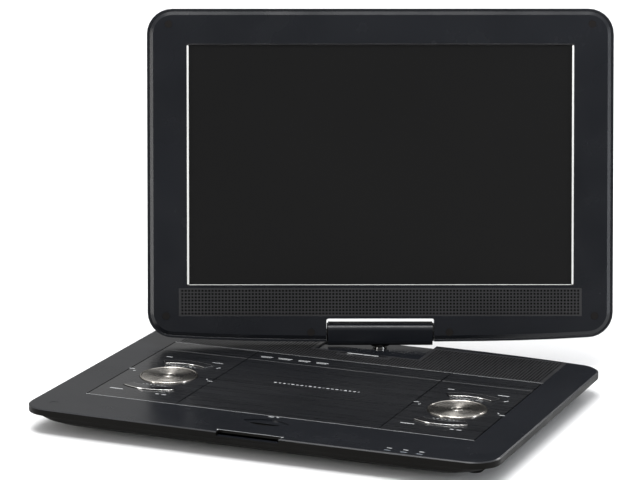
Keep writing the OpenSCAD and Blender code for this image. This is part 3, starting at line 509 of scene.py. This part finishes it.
def perforated(name, xs, ys, z_top, depth, thickness, bar, state, matrix=None):
    """A plate with a square hole in each cell. state gives "hole", "solid" or "none" for a cell."""
    bm = bmesh.new()
    grid = {}

    def node(i, j):
        if (i, j) not in grid:
            grid[i, j] = bm.verts.new((xs[i], ys[j], z_top))
        return grid[i, j]

    for i in range(len(xs) - 1):
        for j in range(len(ys) - 1):
            kind = state((xs[i] + xs[i + 1]) / 2, (ys[j] + ys[j + 1]) / 2)
            if kind == "none":
                continue
            outer = [node(i, j), node(i + 1, j), node(i + 1, j + 1), node(i, j + 1)]
            if kind == "solid":
                bm.faces.new(outer)
                continue
            x0, x1 = xs[i] + bar / 2, xs[i + 1] - bar / 2
            y0, y1 = ys[j] + bar / 2, ys[j + 1] - bar / 2
            corners = [(x0, y0), (x1, y0), (x1, y1), (x0, y1)]
            top = [bm.verts.new((x, y, z_top)) for x, y in corners]
            low = [bm.verts.new((x, y, z_top - depth)) for x, y in corners]
            # Walls and floor of each hole take material index 1, which carries painted shade inside the holes.
            for k in range(4):
                n = (k + 1) % 4
                bm.faces.new((outer[k], outer[n], top[n], top[k]))
                bm.faces.new((top[k], top[n], low[n], low[k])).material_index = 1
            bm.faces.new(low).material_index = 1
    rim = [e for e in bm.edges if e.is_boundary]
    walls = bmesh.ops.extrude_edge_only(bm, edges=rim)["geom"]
    lower = [v for v in walls if isinstance(v, bmesh.types.BMVert)]
    for v in lower:
        v.co.z = z_top - thickness
    bmesh.ops.edgeloop_fill(bm, edges=[e for e in walls if isinstance(e, bmesh.types.BMEdge)
                                       and all(v in lower for v in e.verts)])
    return new_piece(name, bm, matrix)


# ---------- perforated panels ----------
PITCH = 2.9 * MM
BAR = 1.15 * MM


def rear_lattice():
    """Square lattice of the rear deck, cut out round the hinge's recess."""
    verts = [v.co for v in frame["nodes"]["rear_grille_panel"].data.vertices]
    recess_x = min(abs(v.x) for v in verts if v.y > GRILLE_HI.y - MM)
    recess_y = max(v.y for v in verts if abs(v.x) < recess_x - MM)
    xs = (split(GRILLE_LO.x, -recess_x, PITCH) + split(-recess_x, recess_x, PITCH)[1:]
          + split(recess_x, GRILLE_HI.x, PITCH)[1:])
    ys = split(GRILLE_LO.y, recess_y, PITCH) + split(recess_y, GRILLE_HI.y, PITCH)[1:]
    edge = 0.6 * PITCH
    badge_y = (BADGE_LO.y + BADGE_HI.y) / 2

    def state(x, y):
        if abs(x) < recess_x and y > recess_y:
            return "none"
        near_edge = (y < ys[0] + edge or y > ys[-1] - edge or abs(x) > GRILLE_HI.x - edge
                     or (abs(x) < recess_x + edge and y > recess_y - edge))
        near_badge = abs(x) < BADGE_HI.x + edge and abs(y - badge_y) < BADGE_HI.y - badge_y + edge
        return "solid" if near_edge or near_badge else "hole"

    piece = perforated("rear_lattice", xs, ys, GRILLE_HI.z, 1.1 * MM,
                       GRILLE_HI.z - GRILLE_LO.z, BAR, state)
    # Matte black inside the holes is painted shade.
    dress(piece, "lattice_black", "base", "rear_grille_panel", inner="matte_black")


def speaker_mesh():
    """Square holes across the strip under the picture."""
    lo, hi = face_box("speaker_grille")
    margin = 1.6 * MM
    xs = [lo.x] + split(lo.x + margin, hi.x - margin, PITCH) + [hi.x]
    ys = [lo.y] + split(lo.y + margin / 2, hi.y - margin / 2, PITCH) + [hi.y]

    def state(x, y):
        return "hole" if xs[1] < x < xs[-2] and ys[1] < y < ys[-2] else "solid"

    piece = perforated("speaker_mesh", xs, ys, hi.z, 0.9 * MM, hi.z - lo.z, BAR, state, FACE)
    # Matte black inside the holes is painted shade.
    dress(piece, "lattice_black", "screen", "speaker_grille", inner="matte_black")


# ---------- pads and curved keys ----------
def turned_pad(side):
    """A spun metal pad with a raised lip, a shallow dish and a small cap in the middle."""
    lo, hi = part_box(side + "_pad")
    centre = (lo + hi) / 2
    r = (hi.x - lo.x) / 2
    z = hi.z
    groove = 0.18 * MM
    dish = 0.4 * MM
    cap = 4.6 * MM
    lip = 1.5 * MM
    profile = [(0.2 * MM, z - 0.25 * MM), (cap * 0.6, z - 0.28 * MM), (cap - 0.3 * MM, z - 0.36 * MM),
               (cap, z - dish - groove), (cap + 0.4 * MM, z - dish - groove),
               (cap + 0.7 * MM, z - dish)]
    for i in range(1, 9):
        t = i / 8
        profile.append((cap + 0.7 * MM + (r - lip - cap - 1.1 * MM) * t, z - dish * (1 - 0.6 * t * t)))
    profile += [(r - lip, z - groove - 0.2 * MM), (r - lip + 0.25 * MM, z - groove),
                (r - lip + 0.5 * MM, z - 0.04 * MM), (r - lip + 0.8 * MM, z),
                (r - 0.55 * MM, z), (r - 0.25 * MM, z - 0.08 * MM), (r - 0.07 * MM, z - 0.26 * MM),
                (r, z - 0.5 * MM), (r, DECK_TOP - 2.3 * MM)]
    piece = lathe(side + "_pad_disc", profile, centre)
    round_edges(piece, 0)
    dress(piece, "spun_metal", side + "_pad", side + "_pad")


def crescent(side, end):
    """A curved key: black with a rounded edge, edged on top by a bright metal rim on its near side as a painted
    highlight and a darker steel rim on its far side as painted shade.
    """
    node = f"{side}_{end}_rocker"
    lo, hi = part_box(node)
    pad_lo, pad_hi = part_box(side + "_pad")
    centre = (pad_lo + pad_hi) / 2
    sign = 1 if end == "rear" else -1
    r1 = max(abs(hi.y - centre.y), abs(lo.y - centre.y))
    half = math.asin((hi.x - lo.x) / 2 / r1)
    r0 = min(abs(v.co.y - centre.y) for v in frame["nodes"][node].data.vertices) / math.cos(half)
    near_wide = 1.1 * MM
    far_wide = 0.5 * MM
    rim_reach = half * 0.97
    steps = 28

    def band(inner, outer, reach, z0, z1, edge, name, look, *nodes):
        points = []
        for r, way in ((outer, 1), (inner, -1)):
            for i in range(steps + 1):
                a = way * reach * (2 * i / steps - 1)
                points.append((centre.x + r * math.sin(a), centre.y + sign * r * math.cos(a)))
        if sign > 0:
            points.reverse()
        bm = bmesh.new()
        cushion(bm, points, z0, z1, edge)
        piece = new_piece(name, bm)
        round_edges(piece, 0, math.radians(50))
        dress(piece, look, node, *nodes)

    band(r0, r1, half, DECK_TOP - 2.5 * MM, hi.z - 0.04 * MM, 0.4 * MM, node + "_key",
         "trim_black", node)
    # The rim on the side nearer the camera is bright metal, a painted highlight; the far rim is darker steel,
    # painted shade.
    near = r0 if end == "rear" else r1 - near_wide
    far = r1 - far_wide if end == "rear" else r0
    band(near, near + near_wide, rim_reach, hi.z - 0.5 * MM, hi.z, 0.3 * MM, node + "_rim",
         "bright_metal")
    band(far, far + far_wide, rim_reach, hi.z - 0.5 * MM, hi.z - 0.02 * MM, 0.2 * MM,
         node + "_far_rim", "steel")


# ---------- printed marks and painted highlight lines: plain bars and dots, no lettering ---
# Marks round a pad: place from its middle, length, width and turn in degrees.
PAD_MARKS = [(-24, 52, 6, 1.4, 0), (22, 50, 10, 1.4, 0), (29, 36, 4.5, 1.2, 50),
             (-38, 8, 5, 1.3, 0), (-33.5, 3, 3.2, 1.1, 60), (34, 2, 3.2, 1.1, -60),
             (38.5, -2, 5, 1.3, 0), (-24, -50, 12, 1.4, 0), (14, -52, 3.4, 1.6, 0),
             (20, -52, 4.6, 1.4, 0)]
KEY_MARKS_AT = 29.5
DOOR_MARK_SPANS = ((-80.7, -68.9), (-64.7, -51), (-46, -34.5), (-29.4, -18))
BUTTON_MARKS = [(-2, -97.6, 5, 1.5, 0), (3.6, -97.4, 2.4, 1.5, 0)]
LIGHT_MARKS_X = (114, 127.5, 140.5)
LIGHT_MARKS_Y = -137.8
MARK_HEIGHT = 0.03
MARK_SUNK = 0.02


def bars(name, items, z, body, matrix=None, look="silver_mark"):
    """Thin bars, for printed marks and for painted highlight lines. Each item is (x, y, length, width, turn in
    degrees), in millimetres.
    """
    bm = bmesh.new()
    for x, y, length, width, turn in items:
        c, s = math.cos(math.radians(turn)), math.sin(math.radians(turn))
        outline = [(c * u - s * v, s * u + c * v) for u, v in pill_points(length * MM, width * MM, 4)]
        cushion(bm, outline, z - MARK_SUNK * MM, z + MARK_HEIGHT * MM, 0.01 * MM,
                (x * MM, y * MM), 1)
    piece = new_piece(name, bm, matrix)
    dress(piece, look, body)


def dashes(x0, x1, y, width, lengths, gap):
    """A row of dashes of varied length, the first at x0 and the last begun before x1."""
    items = []
    x = x0
    while x < x1:
        length = lengths[len(items) % len(lengths)]
        items.append((x + length / 2, y, length, width, 0))
        x += length + gap
    return items


def pad_marks(side):
    """Plain marks round one pad."""
    lo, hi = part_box(side + "_pad")
    cx, cy = (lo.x + hi.x) / 2 / MM, (lo.y + hi.y) / 2 / MM
    items = [(cx + x, cy + y, length, width, turn) for x, y, length, width, turn in PAD_MARKS]
    items += dashes(cx - 12, cx + 10, cy + KEY_MARKS_AT, 0.9, (2.2, 1.4, 3), 1.3)
    items += dashes(cx - 10, cx + 12, cy - KEY_MARKS_AT, 0.9, (1.6, 2.6, 1.8), 1.3)
    bars(side + "_pad_marks", items, DECK_TOP, "base")


def door_marks():
    """Rows of plain dashes on the disc door."""
    items = dashes(-39, 37, -6.8, 2.2, (3, 2.4, 2.8, 1.8), 1.4)
    for x0, x1 in DOOR_MARK_SPANS:
        items.append(((x0 + x1) / 2, 62, x1 - x0, 1.5, 0))
        items.append(((x0 + x1) / 2, 59.6, (x1 - x0) * 0.8, 1.1, 0))
    bars("door_marks", items, DOOR_HI.z, "disc_door")


def base_marks():
    """Small marks by the button and the lights."""
    lights = [(x, LIGHT_MARKS_Y, 4.4, 1.2, 0) for x in LIGHT_MARKS_X]
    bars("base_marks", BUTTON_MARKS + lights, DECK_TOP, "base")


def edge_highlight_lines():
    """Painted highlight lines along the front of the panels and along the grille."""
    front, grille = DOOR_LO.y / MM - 0.5, GRILLE_LO.y / MM - 0.1
    wide = 2 * GRILLE_HI.x / MM
    bars("front_highlight_line", [(0, front, wide, 0.42, 0)], DECK_TOP, "base")
    bars("grille_highlight_line", [(0, grille, wide, 0.3, 0)], DECK_TOP, "base")


def picture_edge_highlights():
    """Painted highlights on the edge round the picture: both sides wide, the lower one thin."""
    lo, hi = face_box("lcd_trim")
    lo, hi = lo / MM, hi / MM
    wide, thin, margin = 1.6, 0.45, 1.1
    mid = (lo.y + hi.y) / 2
    high = hi.y - lo.y - 2.4
    items = [(lo.x + margin, mid, high, wide, 90), (hi.x - margin, mid, high, wide, 90),
             (0, lo.y + margin, hi.x - lo.x - 4, thin, 0)]
    bars("picture_edge_highlights", items, hi.z * MM, "screen", FACE, "light_guide")


def thumb_scoop_highlights():
    """Painted highlight line along the back of the thumb scoop, with a painted glint at each end corner."""
    y = TOP_LO.y / MM + 6.6
    corner = 27.6
    items = [(0, y, 54, 0.5, 0)]
    for side in (-1, 1):
        items.append((side * corner, y - 0.8, 2.6, 1.1, side * 60))
    bars("thumb_scoop_highlights", items, DECK_TOP, "base")


# ---------- badge ----------
def badge():
    """A lens-shaped plaque with a bright bar across it."""
    cy = (BADGE_LO.y + BADGE_HI.y) / 2
    bm = bmesh.new()
    half, rise = (BADGE_HI.x - BADGE_LO.x) / 2, (BADGE_HI.y - BADGE_LO.y) / 2
    steps = 40
    points = [(half * math.cos(math.tau * i / steps),
               rise * math.copysign(abs(math.sin(math.tau * i / steps)) ** 1.3,
                                    math.sin(math.tau * i / steps))) for i in range(steps)]
    cushion(bm, points, GRILLE_HI.z - 0.2 * MM, BADGE_HI.z - 0.1 * MM, 0.2 * MM, (0, cy))
    plaque = new_piece("badge_plate", bm)
    round_edges(plaque, 0)
    dress(plaque, "trim_black", "base", "badge_plaque")
    bm = bmesh.new()
    cushion(bm, pill_points(29 * MM, 2.1 * MM), BADGE_HI.z - 0.2 * MM, BADGE_HI.z, 0.15 * MM,
            (-1.5 * MM, cy + 0.2 * MM))
    bar = new_piece("badge_bar", bm)
    round_edges(bar, 0)
    dress(bar, "silver_mark", "base")


rear_lattice()
speaker_mesh()
for side in ("left", "right"):
    turned_pad(side)
    for end in ("rear", "front"):
        crescent(side, end)
    pad_marks(side)
door_marks()
base_marks()
edge_highlight_lines()
picture_edge_highlights()
thumb_scoop_highlights()
badge()
